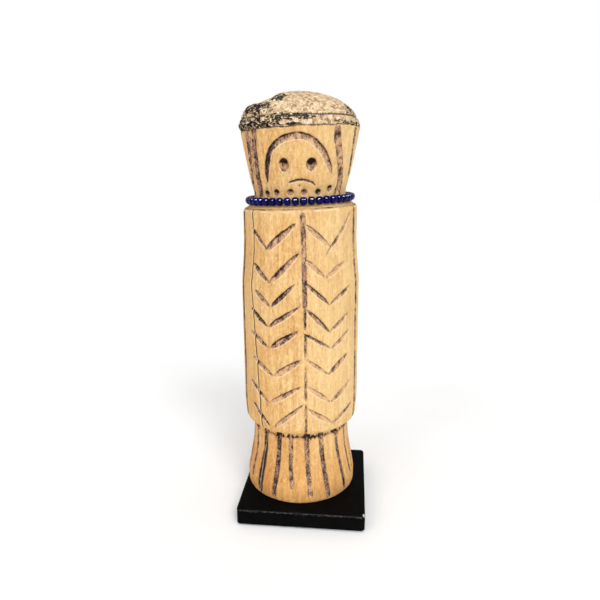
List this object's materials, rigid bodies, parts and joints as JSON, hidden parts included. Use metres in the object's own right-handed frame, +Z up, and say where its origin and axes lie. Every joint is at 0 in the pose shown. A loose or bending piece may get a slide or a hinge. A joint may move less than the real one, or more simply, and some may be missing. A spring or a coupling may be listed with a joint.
{
  "type": "fertility doll",
  "caption": "Carved wooden fertility doll, a cylinder with a flaring capped head and a fluted skirt, with a glass-bead necklace, pinned to a square lacquered base.",
  "frame": {"origin": "centre of the underside of the felt below the square base", "axes": "+Z up along the figure; the doll faces -Y, turned a few degrees towards +X; the base's sides lie along X and Y"},
  "size_m": [0.0766, 0.0778, 0.2484],
  "materials": {
    "carved_wood": "honey-coloured close-grained wood, rubbed to a dull sheen, dark in the grooves",
    "black_lacquer": "satin black lacquer on wood, rubbed through along the edges",
    "felt": "thin dark green wool felt",
    "pin_steel": "drawn steel rod",
    "blue_glass": "glossy opaque cobalt blue glass",
    "thread": "waxed cotton thread"
  },
  "bodies": {
    "stand": {"display_base": "black_lacquer", "felt_underlay": "felt", "mounting_pins": "pin_steel"},
    "figure": {"carved_figure": "carved_wood"},
    "necklace": {"necklace_thread": "thread", "necklace_knot": "thread", "bead_01": "blue_glass", "bead_02": "blue_glass", "bead_03": "blue_glass", "bead_04": "blue_glass", "bead_05": "blue_glass", "bead_06": "blue_glass", "bead_07": "blue_glass", "bead_08": "blue_glass", "bead_09": "blue_glass", "bead_10": "blue_glass", "bead_11": "blue_glass", "bead_12": "blue_glass", "bead_13": "blue_glass", "bead_14": "blue_glass", "bead_15": "blue_glass", "bead_16": "blue_glass", "bead_17": "blue_glass", "bead_18": "blue_glass", "bead_19": "blue_glass", "bead_20": "blue_glass", "bead_21": "blue_glass", "bead_22": "blue_glass", "bead_23": "blue_glass", "bead_24": "blue_glass", "bead_25": "blue_glass", "bead_26": "blue_glass", "bead_27": "blue_glass", "bead_28": "blue_glass", "bead_29": "blue_glass", "bead_30": "blue_glass", "bead_31": "blue_glass", "bead_32": "blue_glass", "bead_33": "blue_glass", "bead_34": "blue_glass", "bead_35": "blue_glass", "bead_36": "blue_glass", "bead_37": "blue_glass", "bead_38": "blue_glass", "bead_39": "blue_glass", "bead_40": "blue_glass", "bead_41": "blue_glass", "bead_42": "blue_glass"}
  },
  "joints": [
    {"name": "figure_lift", "type": "slide", "parent": "stand", "child": "figure", "axis": [0, 0, 1], "range_m": [0, 0.03]},
    {"name": "necklace_turn", "type": "hinge", "parent": "figure", "child": "necklace", "pos_m": [-0.0034, 0.0046, 0.1896], "axis": [-0.0348, -0.003, 0.9994], "continuous": true}
  ]
}
